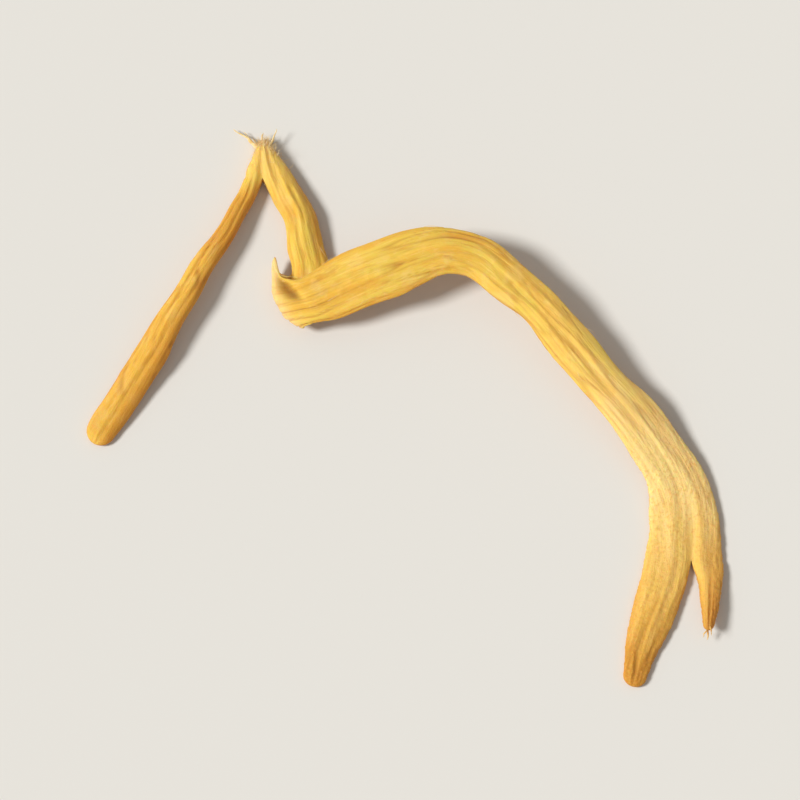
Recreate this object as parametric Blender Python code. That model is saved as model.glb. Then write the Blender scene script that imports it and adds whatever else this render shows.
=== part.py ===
"""Dried cordyceps: two fruiting stems of one fungus, grown together at a torn foot.

The slim stem is almost straight. The broad one runs down from the foot, folds back over itself
at a crumpled rim, arches to the right as a flat ribbon and spreads into a head that splits into
a wide and a narrow tip. The piece lies on its side. Every solid is a loft of flattened sections
carried along a curve through a few stations, each a centre, a width, a thickness and two angles.

Units: stations are in millimetres and degrees, the mesh is in metres. +Z is up, Z = 0 is the
surface that the piece rests on, and +X and +Y point right and away as one looks down on it.
"""

import math

import bmesh
import bpy
import numpy as np
from mathutils import Vector

MM = 0.001
NAME = "dried_cordyceps"
GAP = 0.3  # between neighbouring solids
MIDDLE = (1.2, -0.2)  # x and y of the outline's middle among the stations: the origin goes there

# The foot's cut, where the two stems leave it, and the head's, where the tips leave it.
FOOT_CUT_Y = 21.5
HEAD_CUT_Y = -15.2

# Each station is x, y, z of the centre, the width and the thickness of the section, the compass
# angle of the width in plan, and how far the width's far end is tilted up.
FOOT = (
    (-11.7, 25.3, 0.7, 0.9, 0.8, 0, 0),
    (-11.7, 24.6, 0.7, 1.7, 1.4, 0, 0),
    (-11.5, 23.6, 0.8, 2.7, 2.0, 0, 0),
    (-11.3, 22.6, 0.8, 3.9, 2.2, 0, 0),
    (-11.1, FOOT_CUT_Y, 0.9, 4.9, 2.1, 0, 0),
)
STRAIGHT_STEM = (
    (-12.8, FOOT_CUT_Y - GAP, 0.9, 1.6, 1.6, 0, 0),
    (-13.4, 19.6, 1.0, 1.7, 1.5, -15, 0),
    (-14.3, 17.8, 1.3, 1.8, 1.4, -28, 0),
    (-15.9, 15.0, 1.6, 2.0, 1.4, -31, 4),
    (-17.6, 12.2, 1.8, 2.2, 1.4, -31, 8),
    (-19.2, 9.4, 1.8, 2.5, 1.5, -31, 10),
    (-20.8, 6.6, 1.6, 2.8, 1.5, -31, 8),
    (-22.4, 3.8, 1.2, 3.1, 1.5, -31, 4),
    (-24.0, 1.1, 0.8, 3.2, 1.4, -33, 0),
    (-25.8, -1.5, 0.5, 3.0, 1.3, -35, 0),
    (-27.3, -4.1, 0.4, 2.5, 1.1, -30, 0),
)
FOLDED_STEM = (
    (-10.1, FOOT_CUT_Y - GAP, 0.9, 3.0, 2.0, 0, 0),
    (-9.3, 19.7, 1.0, 3.1, 2.0, 20, 0),
    (-8.4, 17.8, 1.1, 3.1, 1.9, 20, 0),
    (-7.7, 15.1, 1.0, 3.4, 1.7, 13, 0),
    (-7.2, 12.7, 0.65, 3.5, 1.4, 0, 0),
    (-7.4, 11.3, 0.45, 4.0, 1.2, -26, 0),
    (-8.0, 10.4, 0.4, 5.0, 1.1, -48, 0),
    (-8.7, 10.0, 0.7, 5.8, 1.0, -58, 0),
    (-9.0, 9.6, 1.35, 6.1, 0.9, -63, 0),
    (-8.6, 9.2, 2.0, 5.4, 0.9, -63, 0),
    (-7.6, 9.1, 2.4, 4.7, 1.0, -62, 0),
    (-5.4, 9.9, 2.7, 5.2, 1.1, -66, 0),
    (-2.7, 11.0, 3.2, 5.9, 1.2, -67, 0),
    (0.0, 12.0, 3.7, 6.0, 1.2, -70, 0),
    (2.7, 12.9, 4.0, 5.3, 1.3, -77, 0),
    (5.4, 13.5, 4.2, 4.6, 1.4, -91, 0),
    (8.1, 13.0, 4.1, 4.3, 1.6, -112, -3),
    (10.8, 11.1, 3.9, 4.0, 1.7, -128, -6),
    (13.5, 8.8, 3.6, 3.9, 1.7, -134, -7),
    (16.2, 5.9, 3.2, 4.0, 1.7, -138, -6),
    (18.9, 2.5, 2.8, 4.1, 1.6, -140, -3),
    (21.7, -0.5, 2.4, 4.3, 1.5, -143, 0),
    (25.2, -5.0, 1.4, 5.0, 1.3, -150, 0),
    (27.0, -8.4, 0.7, 5.6, 1.4, -165, 0),
    (27.5, -11.6, 0.45, 6.4, 1.5, -176, 0),
    (27.4, -13.7, 0.45, 6.9, 1.5, -180, 0),
    (27.3, HEAD_CUT_Y, 0.45, 7.2, 1.5, -180, 0),
)
WIDE_TIP = (
    (25.8, HEAD_CUT_Y - GAP, 0.5, 4.3, 1.4, -180, 0),
    (25.4, -17.4, 0.5, 4.3, 1.4, -188, 0),
    (24.7, -19.4, 0.5, 4.1, 1.4, -197, 0),
    (23.9, -21.7, 0.5, 3.5, 1.3, -198, 0),
    (23.2, -24.0, 0.4, 2.8, 1.2, -199, 0),
    (22.4, -26.9, 0.4, 1.9, 1.0, -198, 0),
)
NARROW_TIP = (
    (29.6, HEAD_CUT_Y - GAP, 0.5, 2.5, 1.4, -180, 0),
    (29.8, -17.2, 0.7, 2.1, 1.3, -180, 0),
    (29.6, -19.4, 1.1, 1.7, 1.1, -182, 0),
    (29.4, -21.9, 1.6, 0.9, 0.7, -183, 0),
)
# Torn threads at the foot's end, x, y, z of each root and tip, with the root's diameter.
ROOTLETS = (
    ((-12.0, 24.4, 0.9), (-14.1, 26.4, 0.6), 0.8),
    ((-11.3, 24.6, 0.9), (-10.5, 26.1, 1.4), 0.7),
)
ROOTLET_TAPER = 0.3
ROOTLET_SIDES = 8

# The section is a superellipse. 2 would be an ellipse, and more is squarer.
SQUARENESS = 2.4
FACE_CROWDING = 0.14  # radians by which a ring's points shift from its edges to its faces
# Two sets of ridges run lengthwise: ridges in half a width, height as a share of the half
# thickness, and the length over which the set drifts to one side and back.
RIDGES = ((1.35, 0.13, 23.0), (2.3, 0.07, 13.0))
RIDGE_DRIFT = 1.3  # radians by which they drift
RIDGE_FADE = 3  # power with which they fade towards the section's edges
UNDERSIDE_SHIFT = 2.1  # radians by which the underside's ridges are out of step with the top's
# A dried stem has sunk in along its middle, on both faces.
HOLLOW = 0.09
HOLLOW_WIDTH = 0.5
# It swells and shrinks, and wanders from side to side: amount and length of each.
SWELL = (0.035, 9.0)
WANDER = (0.07, 6.5)
SETTLE = 3.0  # the length from a cut over which swelling and wandering set in
# A valley leads into a fork: its middle as a share of half the width, its depth at the cut as
# a share of the half thickness, its width, and the length over which it deepens.
FOOT_VALLEY = (-0.29, 0.55, 0.2, 1.6)
HEAD_VALLEY = (-0.21, 0.55, 0.13, 3.2)
NO_VALLEY = (0.0, 0.0, 1.0, 1.0)
ROUNDING_STEPS = (0, 20, 40, 58, 74, 85)  # degrees of the quarter circle that rounds off a tip
SHARP_EDGE = 50  # degrees between faces

# Colour and roughness of each finish: amber stems, a paler head and a cream foot.
FINISHES = {
    "dried_stem": ((0.80, 0.44, 0.09, 1.0), 0.62),
    "dried_head": ((0.84, 0.52, 0.15, 1.0), 0.68),
    "torn_foot": ((0.86, 0.68, 0.38, 1.0), 0.8),
}

# Each solid is its name, its stations and its finish, the points round a ring, the length from
# ring to ring, the length of its rounded end or 0 for a flat one, the phase in radians that sets
# its ridges and swellings apart from its neighbours', and its valley.
SOLIDS = (
    ("foot", FOOT, "torn_foot", 24, 0.45, 0, 0.4, FOOT_VALLEY),
    ("straight_stem", STRAIGHT_STEM, "dried_stem", 18, 1.0, 1.2, 1.0, NO_VALLEY),
    ("folded_stem", FOLDED_STEM, "dried_stem", 28, 1.1, 0, 2.0, HEAD_VALLEY),
    ("wide_tip", WIDE_TIP, "dried_head", 22, 0.9, 0.8, 3.0, NO_VALLEY),
    ("narrow_tip", NARROW_TIP, "dried_head", 14, 0.7, 0.5, 0.0, NO_VALLEY),
)


def curve_through(stations, spacing, round_end):
    """Stations read from a smooth curve through the given ones, about spacing apart.

    Each stretch is a cubic whose slope at a station is set by its two neighbours. Towards a
    rounded end the stations crowd together, and their sections shrink as a quarter circle does.
    """
    given = np.array(stations, float)
    steps = np.linalg.norm(np.diff(given[:, :3], axis=0), axis=1)
    along = np.concatenate([[0], np.cumsum(steps)])
    slope = np.gradient(given, along, axis=0)
    stops = np.linspace(0, along[-1], max(2, round(along[-1] / spacing)) + 1)
    if round_end:
        angles = np.radians(ROUNDING_STEPS)
        stops = stops[stops < along[-1] - round_end]
        stops = np.append(stops, along[-1] - round_end * (1 - np.sin(angles)))
    place = np.clip(np.searchsorted(along, stops, side="right") - 1, 0, len(along) - 2)
    length = (along[place + 1] - along[place])[:, None]
    t = (stops[:, None] - along[place][:, None]) / length
    rows = (
        (2 * t**3 - 3 * t**2 + 1) * given[place]
        + (t**3 - 2 * t**2 + t) * length * slope[place]
        + (3 * t**2 - 2 * t**3) * given[place + 1]
        + (t**3 - t**2) * length * slope[place + 1]
    )
    if round_end:
        inside = np.clip(1 - (along[-1] - stops) / round_end, 0, 1)
        rows[:, 3:5] *= np.sqrt(1 - inside**2)[:, None]
    return stops, rows


def frames(rows):
    """Centre, width direction and thickness direction of each section."""
    centre = rows[:, :3]
    plan = np.radians(rows[:, 5])
    tilt = np.radians(rows[:, 6])
    width = np.stack(
        [np.cos(plan) * np.cos(tilt), np.sin(plan) * np.cos(tilt), np.sin(tilt)], axis=1
    )
    forward = np.gradient(centre, axis=0)
    thick = np.cross(forward, width)
    thick /= np.linalg.norm(thick, axis=1)[:, None]
    return centre, width, thick


def section_rings(rows, stops, around, phase, valley):
    """Rings of points on the surface, in millimetres, flattened where they meet Z = 0."""
    centre, width, thick = frames(rows)
    angle = np.arange(around) * 2 * math.pi / around
    angle = angle + FACE_CROWDING * np.sin(2 * angle)
    power = 2 / SQUARENESS
    across = np.sign(np.cos(angle)) * np.abs(np.cos(angle)) ** power
    up = np.sign(np.sin(angle)) * np.abs(np.sin(angle)) ** power
    under = np.where(up < 0, UNDERSIDE_SHIFT, 0.0)
    to_end = stops[-1] - stops
    settled = np.clip(np.minimum(stops, to_end) / SETTLE, 0, 1)
    relief = np.ones((len(stops), around))
    for number, height, length in RIDGES:
        drift = RIDGE_DRIFT * np.sin(2 * math.pi * stops / length + phase * number)
        wave = np.cos(2 * math.pi * number * across + drift[:, None] + under)
        relief += height * wave * (1 - np.abs(across) ** RIDGE_FADE)
    relief -= HOLLOW * np.exp(-((across / HOLLOW_WIDTH) ** 2))
    middle, depth, spread, reach = valley
    deepening = depth * np.exp(-to_end / reach)
    relief -= deepening[:, None] * np.exp(-(((across - middle) / spread) ** 2))
    swell = 1 + settled * SWELL[0] * np.sin(2 * math.pi * stops / SWELL[1] + phase)
    aside = settled * WANDER[0] * np.sin(2 * math.pi * stops / WANDER[1] + 2 * phase)
    half_width = rows[:, 3] / 2 * swell
    half_thick = rows[:, 4] / 2
    sideways = aside[:, None] + half_width[:, None] * across
    upwards = half_thick[:, None] * up * relief
    points = (
        centre[:, None, :]
        + width[:, None, :] * sideways[..., None]
        + thick[:, None, :] * upwards[..., None]
    )
    points[..., 0] -= MIDDLE[0]
    points[..., 1] -= MIDDLE[1]
    points[..., 2] = np.maximum(points[..., 2], 0)
    return points


def material(name, colour, roughness):
    """A plain matt finish."""
    made = bpy.data.materials.new(name)
    made.use_nodes = True
    shader = made.node_tree.nodes["Principled BSDF"]
    shader.inputs["Base Color"].default_value = colour
    shader.inputs["Roughness"].default_value = roughness
    shader.inputs["Metallic"].default_value = 0.0
    return made


def loft(name, rings, finish, collection):
    """A closed skin over the rings, each end closed by a fan round its middle."""
    count, around = rings.shape[:2]
    points = rings.reshape(-1, 3)
    ends = np.stack([rings[0].mean(axis=0), rings[-1].mean(axis=0)])
    ring = np.arange(around)
    beside = (ring + 1) % around
    base = (np.arange(count - 1) * around)[:, None]
    corners = [base + ring, base + beside, base + beside + around, base + ring + around]
    walls = np.stack(corners, axis=2)
    first, last = count * around, count * around + 1
    top = (count - 1) * around
    faces = walls.reshape(-1, 4).tolist()
    faces += [(first, b, a) for a, b in zip(ring.tolist(), beside.tolist())]
    faces += [(last, top + a, top + b) for a, b in zip(ring.tolist(), beside.tolist())]
    mesh = bpy.data.meshes.new(name)
    places = np.concatenate([points, ends]) * MM
    mesh.from_pydata(places.tolist(), [], faces)
    mesh.materials.append(finish)
    mesh.shade_smooth()
    mesh.set_sharp_from_angle(angle=math.radians(SHARP_EDGE))
    solid = bpy.data.objects.new(name, mesh)
    collection.objects.link(solid)
    return solid


def add_rootlet(foot, number, root, tip, diameter, helpers):
    """Fuses a tapered thread to the foot with a union."""
    root = Vector(root) - Vector((*MIDDLE, 0))
    tip = Vector(tip) - Vector((*MIDDLE, 0))
    run = tip - root
    form = bmesh.new()
    bmesh.ops.create_cone(
        form,
        cap_ends=True,
        segments=ROOTLET_SIDES,
        radius1=diameter / 2 * MM,
        radius2=diameter * ROOTLET_TAPER / 2 * MM,
        depth=run.length * MM,
    )
    mesh = bpy.data.meshes.new(f"rootlet_{number}")
    form.to_mesh(mesh)
    form.free()
    thread = bpy.data.objects.new(f"rootlet_{number}", mesh)
    thread.location = (root + tip) / 2 * MM
    thread.rotation_mode = "QUATERNION"
    thread.rotation_quaternion = run.to_track_quat("Z", "Y")
    thread.hide_render = True
    thread.display_type = "WIRE"
    helpers.objects.link(thread)
    union = foot.modifiers.new(f"rootlet_{number}", "BOOLEAN")
    union.operation = "UNION"
    union.solver = "EXACT"
    union.object = thread


def main():
    for old in list(bpy.data.objects):
        bpy.data.objects.remove(old, do_unlink=True)
    collection = bpy.data.collections.new(NAME)
    helpers = bpy.data.collections.new(NAME + "_helpers")
    bpy.context.scene.collection.children.link(collection)
    bpy.context.scene.collection.children.link(helpers)
    materials = {name: material(name, *finish) for name, finish in FINISHES.items()}
    solids = {}
    for name, stations, finish, around, spacing, round_end, phase, valley in SOLIDS:
        stops, rows = curve_through(stations, spacing, round_end)
        rings = section_rings(rows, stops, around, phase, valley)
        solids[name] = loft(name, rings, materials[finish], collection)
    for number, (root, tip, diameter) in enumerate(ROOTLETS, start=1):
        add_rootlet(solids["foot"], number, root, tip, diameter, helpers)


main()
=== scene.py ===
# %% [markdown]
# # Dried cordyceps, dressed
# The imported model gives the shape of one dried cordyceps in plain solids: a torn foot, a slim
# stem, and a broad stem that folds, arches and ends in a forked head. This lesson grows one
# continuous skin in the same place and gives it the wrinkles, grains, fibres and colours of the
# dried fungus. Lengths in the formulas are millimetres, because that is how one thinks of a thing
# this small, and they are turned to metres when a mesh is made.

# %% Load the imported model
import math

import bpy
import numpy as np
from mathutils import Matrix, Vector


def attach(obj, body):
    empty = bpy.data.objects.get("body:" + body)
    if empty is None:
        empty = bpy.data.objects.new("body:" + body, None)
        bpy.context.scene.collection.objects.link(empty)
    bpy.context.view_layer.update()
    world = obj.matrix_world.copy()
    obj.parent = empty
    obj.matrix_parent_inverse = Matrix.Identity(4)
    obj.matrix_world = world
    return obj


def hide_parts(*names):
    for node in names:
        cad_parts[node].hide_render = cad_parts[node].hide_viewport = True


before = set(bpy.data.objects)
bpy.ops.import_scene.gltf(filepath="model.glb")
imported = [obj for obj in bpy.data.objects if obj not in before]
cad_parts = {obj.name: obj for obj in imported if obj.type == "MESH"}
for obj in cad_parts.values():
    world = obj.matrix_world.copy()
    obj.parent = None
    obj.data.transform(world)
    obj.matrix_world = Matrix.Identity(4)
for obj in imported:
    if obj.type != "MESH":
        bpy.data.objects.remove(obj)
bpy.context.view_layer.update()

MM = 0.001
TURN = 2 * math.pi

# %% [markdown]
# ## The stations
# Each strand is a flattened tube. Its stations say where its middle is, how wide and thick it is,
# which way its width points in plan, and how far the width's far end is tilted up. They are the
# same stations that the solids are lofted through, so that the skin lies where the solids are.

# %% Stations
MIDDLE = np.array([1.2, -0.2, 0.0])  # the outline's middle among the stations
FOOT = (
    (-11.7, 25.3, 0.7, 0.9, 0.8, 0, 0),
    (-11.7, 24.6, 0.7, 1.7, 1.4, 0, 0),
    (-11.5, 23.6, 0.8, 2.7, 2.0, 0, 0),
    (-11.3, 22.6, 0.8, 3.9, 2.2, 0, 0),
    (-11.1, 21.5, 0.9, 4.9, 2.1, 0, 0),
)
STRAIGHT_STEM = (
    (-12.8, 21.2, 0.9, 1.6, 1.6, 0, 0),
    (-13.4, 19.6, 1.0, 1.7, 1.5, -15, 0),
    (-14.3, 17.8, 1.3, 1.8, 1.4, -28, 0),
    (-15.9, 15.0, 1.6, 2.0, 1.4, -31, 4),
    (-17.6, 12.2, 1.8, 2.2, 1.4, -31, 8),
    (-19.2, 9.4, 1.8, 2.5, 1.5, -31, 10),
    (-20.8, 6.6, 1.6, 2.8, 1.5, -31, 8),
    (-22.4, 3.8, 1.2, 3.1, 1.5, -31, 4),
    (-24.0, 1.1, 0.8, 3.2, 1.4, -33, 0),
    (-25.8, -1.5, 0.5, 3.0, 1.3, -35, 0),
    (-27.3, -4.1, 0.4, 2.5, 1.1, -30, 0),
)
FOLDED_STEM = (
    (-10.1, 21.2, 0.9, 3.0, 2.0, 0, 0),
    (-9.3, 19.7, 1.0, 3.1, 2.0, 20, 0),
    (-8.4, 17.8, 1.1, 3.1, 1.9, 20, 0),
    (-7.7, 15.1, 1.0, 3.4, 1.7, 13, 0),
    (-7.2, 12.7, 0.65, 3.5, 1.4, 0, 0),
    (-7.4, 11.3, 0.45, 4.0, 1.2, -26, 0),
    (-8.0, 10.4, 0.4, 5.0, 1.1, -48, 0),
    (-8.7, 10.0, 0.7, 5.8, 1.0, -58, 0),
    (-9.0, 9.6, 1.35, 6.1, 0.9, -63, 0),
    (-8.6, 9.2, 2.0, 5.4, 0.9, -63, 0),
    (-7.6, 9.1, 2.4, 4.7, 1.0, -62, 0),
    (-5.4, 9.9, 2.7, 5.2, 1.1, -66, 0),
    (-2.7, 11.0, 3.2, 5.9, 1.2, -67, 0),
    (0.0, 12.0, 3.7, 6.0, 1.2, -70, 0),
    (2.7, 12.9, 4.0, 5.3, 1.3, -77, 0),
    (5.4, 13.5, 4.2, 4.6, 1.4, -91, 0),
    (8.1, 13.0, 4.1, 4.3, 1.6, -112, -3),
    (10.8, 11.1, 3.9, 4.0, 1.7, -128, -6),
    (13.5, 8.8, 3.6, 3.9, 1.7, -134, -7),
    (16.2, 5.9, 3.2, 4.0, 1.7, -138, -6),
    (18.9, 2.5, 2.8, 4.1, 1.6, -140, -3),
    (21.7, -0.5, 2.4, 4.3, 1.5, -143, 0),
    (25.2, -5.0, 1.4, 5.0, 1.3, -150, 0),
    (27.0, -8.4, 0.7, 5.6, 1.4, -165, 0),
    (27.5, -11.6, 0.45, 6.4, 1.5, -176, 0),
    (27.4, -13.7, 0.45, 6.9, 1.5, -180, 0),
    (27.3, -15.2, 0.45, 7.2, 1.5, -180, 0),
)
WIDE_TIP = (
    (25.8, -15.5, 0.5, 4.3, 1.4, -180, 0),
    (25.4, -17.4, 0.5, 4.3, 1.4, -188, 0),
    (24.7, -19.4, 0.5, 4.1, 1.4, -197, 0),
    (23.9, -21.7, 0.5, 3.5, 1.3, -198, 0),
    (23.2, -24.0, 0.4, 2.8, 1.2, -199, 0),
    (22.4, -26.9, 0.4, 1.9, 1.0, -198, 0),
)
NARROW_TIP = (
    (29.6, -15.5, 0.5, 2.5, 1.4, -180, 0),
    (29.8, -17.2, 0.7, 2.1, 1.3, -180, 0),
    (29.6, -19.4, 1.1, 1.7, 1.1, -182, 0),
    (29.4, -21.9, 1.6, 0.9, 0.7, -183, 0),
)


def stretches(stations):
    """Distance of each station from the first, along the straight runs between them."""
    steps = np.linalg.norm(np.diff(np.array(stations)[:, :3], axis=0), axis=1)
    return np.concatenate([[0.0], np.cumsum(steps)])


for name, stations in (("slim stem", STRAIGHT_STEM), ("broad stem", FOLDED_STEM)):
    print(name, "is", round(float(stretches(stations)[-1]), 1), "mm long")

# %% [markdown]
# ## Noise that can be worked out for a whole array
# Wrinkles and colours need something irregular that still comes out the same on every run. A cube
# of random numbers, drawn once from a fixed seed, is read between its points with a smooth weight.
# Stretching the coordinates before the reading turns round blobs into long streaks.

# %% Noise
SIDE = 32
DOME_RADIUS = math.sqrt(0.3)  # of a grain, where the cubes' sides are 1
LATTICE = np.random.default_rng(11).random((SIDE, SIDE, SIDE))
SEED_STEP = np.array([5.37, 9.71, 3.13])  # how far apart in the lattice two seeds are read


def noise(u, v, w=0.0, seed=0):
    """Value between 0 and 1 at (u, v, w).

    Formula: the eight lattice numbers round the point, each weighted by the smooth step
    3t^2 - 2t^3 of the point's place between them, and added up. It repeats every SIDE units.
    """
    shift = SEED_STEP * seed
    place = np.stack(np.broadcast_arrays(u + shift[0], v + shift[1], w + shift[2]), -1)
    cell = np.floor(place).astype(int)
    part = place - cell
    part = part * part * (3 - 2 * part)
    total = 0.0
    for corner in range(8):
        step = np.array([corner & 1, corner >> 1 & 1, corner >> 2 & 1])
        weight = np.prod(np.where(step, part, 1 - part), axis=-1)
        i, j, k = np.moveaxis((cell + step) % SIDE, -1, 0)
        total = total + weight * LATTICE[i, j, k]
    return total


def smooth(value, low, high):
    """0 below low, 1 above high, and the smooth step 3t^2 - 2t^3 between them."""
    t = np.clip((value - low) / (high - low), 0, 1)
    return t * t * (3 - 2 * t)


def fade(value, low, high, least):
    """least at low, 1 at high, and the smooth step between them; low may be above high."""
    return least + (1 - least) * smooth(value, low, high)


def bell(value):
    """1 at 0 and falling off to both sides: e to the minus square of the value."""
    return np.exp(-(value**2))


def domes(where):
    """Height from 0 to 1 of round grains, about one in each unit cube.

    Formula: every cube holds one grain at a random place. The nearest grain's height is one less
    the squared distance over the squared radius, and never below zero.
    """
    cell = np.floor(where).astype(int)
    nearest = np.full(len(where), np.inf)
    for side in range(27):
        near = cell + np.array([side % 3 - 1, side // 3 % 3 - 1, side // 9 - 1])
        i, j, k = (near % SIDE).T
        spot = near + np.stack([LATTICE[i, j, k], LATTICE[j, k, i], LATTICE[k, i, j]], 1)
        nearest = np.minimum(nearest, np.sum((where - spot) ** 2, axis=1))
    return np.clip(1 - nearest / DOME_RADIUS**2, 0, 1)


sample = noise(np.linspace(0, 20, 4000), 0.5)
print("noise runs from", round(float(sample.min()), 2), "to", round(float(sample.max()), 2))

# %% [markdown]
# ## A section carried along a strand
# The section is a superellipse, an oval that is a little squarer than an ellipse. Dried stems sink
# in along their middle and have a few broad ridges that drift from side to side. The points round
# a ring are spaced evenly by length, because a flat oval would otherwise crowd them at its edges.

# %% Sections
SQUARENESS = 2.4
OVAL_SAMPLES = 2000


def oval(angle):
    """The section's sideways and upward share, each the cosine or sine to the 2 / SQUARENESS."""
    power = 2 / SQUARENESS
    across = np.sign(np.cos(angle)) * np.abs(np.cos(angle)) ** power
    up = np.sign(np.sin(angle)) * np.abs(np.sin(angle)) ** power
    return across, up


def even_angles(anchors, counts, flatness):
    """Angles round a ring: counts[i] even steps by length between anchors[i] and anchors[i + 1].

    Formula: the oval's line is cut finely, the pieces' lengths are added up, and the angles are
    read where the sum passes each even step. The flatness is its thickness over its width.
    """
    parts = []
    for low, high, count in zip(anchors[:-1], anchors[1:], counts):
        fine = np.linspace(low, high, OVAL_SAMPLES)
        across, up = oval(fine)
        step = np.hypot(np.diff(across), flatness * np.diff(up))
        length = np.concatenate([[0.0], np.cumsum(step)])
        parts.append(np.interp(np.arange(count) / count * length[-1], length, fine))
    return np.concatenate(parts)


eighths = np.degrees(even_angles([0, TURN], [8], 0.25)).round().astype(int)
print("eight even steps round a flat oval lie at", eighths.tolist(), "degrees")

# %% Between the stations
def rows_along(stations, stops):
    """Stations read at the stops, from a cubic through the given ones.

    Formula: on each stretch the two stations and their slopes are mixed with Hermite's weights;
    a slope is set by the station's two neighbours.
    """
    given = np.array(stations, float)
    along = stretches(stations)
    slope = np.gradient(given, along, axis=0)
    place = np.clip(np.searchsorted(along, stops, side="right") - 1, 0, len(along) - 2)
    length = (along[place + 1] - along[place])[:, None]
    t = (stops[:, None] - along[place][:, None]) / length
    return (
        (2 * t**3 - 3 * t**2 + 1) * given[place]
        + (t**3 - 2 * t**2 + t) * length * slope[place]
        + (3 * t**2 - 2 * t**3) * given[place + 1]
        + (t**3 - t**2) * length * slope[place + 1]
    )


def unit(vectors):
    """The vectors over their own lengths."""
    return vectors / np.linalg.norm(vectors, axis=-1, keepdims=True)


def directions(rows):
    """Width direction and thickness direction of each section.

    Formula: the width points along (cos plan, sin plan), lifted by its tilt. The thickness is
    square to it and to the way that the strand runs.
    """
    plan, tilt = np.radians(rows[:, 5]), np.radians(rows[:, 6])
    width = np.stack([np.cos(plan) * np.cos(tilt), np.sin(plan) * np.cos(tilt), np.sin(tilt)], 1)
    return width, unit(np.cross(np.gradient(rows[:, :3], axis=0), width))


halfway = rows_along(FOLDED_STEM, 0.5 * stretches(FOLDED_STEM)[-1:])[0]
print("half way along, the broad stem is", round(float(halfway[3]), 1), "mm wide")

# %% A strand's rings
RIDGES = ((1.35, 0.08, 23.0), (2.3, 0.05, 13.0))  # number in half a width, height, drift length
RIDGE_DRIFT = 1.3
UNDERSIDE_SHIFT = 2.1
RIDGE_FADE = 3  # power of the distance across with which the ridges die out at the edges
HOLLOW = (0.05, 0.5)  # depth and width of the sunk middle
FLAT_CROWN = ((0, 0.1),)  # length, and how much rounder than the oval a strand is there
CROWN_LEVEL = 0.4  # share of the crown's height that the middle gains; the edges lose the rest
SWELL = (0.035, 9.0)  # share of the width, length
WANDER = (0.07, 6.5)  # sideways, length
SETTLE = 3.0  # length from either end over which swell and wander set in


def strand(stations, stops, angles, phase, valley=None, round_end=0.0, crown=FLAT_CROWN):
    """Rings of points; a point is its place, its length along, its place across and its up share.

    Formula: centre + width direction * half width * across + thickness direction * half
    thickness * up * relief. The relief is one, plus the broad ridges, less the sunk middle, plus
    the crown's arch, less the valley that leads into a fork.
    """
    rows = rows_along(stations, stops)
    width, thick = directions(rows)
    end = stretches(stations)[-1]
    if round_end:
        inside = np.clip(1 - (end - stops) / round_end, 0, 1)
        rows[:, 3:5] *= np.sqrt(1 - inside**2)[:, None]
    across, up = oval(angles)
    under = np.where(up < 0, UNDERSIDE_SHIFT, 0.0)
    to_end = end - stops
    settled = np.clip(np.minimum(stops, to_end) / SETTLE, 0, 1)
    relief = np.ones(angles.shape)
    for number, height, length in RIDGES:
        drift = RIDGE_DRIFT * np.sin(TURN * stops / length + phase * number)
        wave = np.cos(TURN * number * across + drift[:, None] + under)
        relief = relief + height * wave * (1 - np.abs(across) ** RIDGE_FADE)
    relief = relief - HOLLOW[0] * bell(across / HOLLOW[1])
    height = np.interp(stops, *np.array(crown, float).T)[:, None]
    relief = relief + height * (CROWN_LEVEL - across**2)
    if valley:
        middle, depth, spread, reach = valley
        deepening = depth * np.exp(-to_end / reach)
        relief = relief - deepening[:, None] * bell((across - middle) / spread)
    swell = 1 + settled * SWELL[0] * np.sin(TURN * stops / SWELL[1] + phase)
    aside = settled * WANDER[0] * np.sin(TURN * stops / WANDER[1] + 2 * phase)
    sideways = aside[:, None] + (0.5 * rows[:, 3] * swell)[:, None] * across
    upwards = 0.5 * rows[:, 4][:, None] * up * relief
    points = rows[:, None, :3] + width[:, None, :] * sideways[..., None]
    points = points + thick[:, None, :] * upwards[..., None] - MIDDLE
    coords = np.stack(np.broadcast_arrays(stops[:, None], sideways, up), -1)
    return np.concatenate([points, coords], -1)


print("strands swell every", SWELL[1], "mm and wander every", WANDER[1], "mm")

# %% [markdown]
# ## Forks
# A fork is like the seat of a pair of trousers. Where a valley on each face has pinched the parent
# strand almost through, its ring is divided at the two valley points. A short chain of points
# joins them inside, and each child strand takes one half of the ring and the chain as its first
# ring. Nothing overlaps, so the skin stays one closed surface and light passes through it rightly.

# %% The growing skin
FORK_FADE = 2.2  # length over which a child strand takes on its own section
COLUMNS = 6  # a point's place, its length along, its place across and its up share
skin = {"points": [np.zeros((0, COLUMNS))], "faces": []}


def all_points():
    """Every point of the skin so far."""
    return np.concatenate(skin["points"])


def add_points(points):
    """Adds points to the skin and gives their numbers."""
    first = len(all_points())
    skin["points"].append(points.reshape(-1, COLUMNS))
    return np.arange(first, len(all_points())).reshape(points.shape[:-1])


def walls_between(near, far):
    """Quads between rings of numbers and the rings after them, all facing outwards."""
    corners = [near, np.roll(near, -1, -1), np.roll(far, -1, -1), far]
    return np.stack(corners, -1).reshape(-1, 4)


def add_strand(stations, stops, angles, phase, start=0.0, offset=0.0, first=None, **shape):
    """Grows a strand, from the first ring's numbers where it leaves a fork, and gives its grid.

    The length along and the place across run on from the parent strand, so that wrinkles and
    streaks cross the fork unbroken.
    """
    points = strand(stations, stops, angles, phase, **shape)
    points[..., 3:5] += (start, offset)
    if first is None:
        grid = add_points(points)
    else:
        travel = np.zeros((len(stops), 1, COLUMNS))
        travel[:, 0, :3] = rows_along(stations, stops)[:, :3] - np.array(stations[0][:3])
        travel[:, 0, 3] = stops
        own = smooth(stops, 0, FORK_FADE)[:, None, None]
        points = (all_points()[first] + travel) * (1 - own) + points * own
        grid = np.vstack([first[None], add_points(points[1:])])
    skin["faces"].append(walls_between(grid[:-1], grid[1:]))
    return grid


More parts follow.
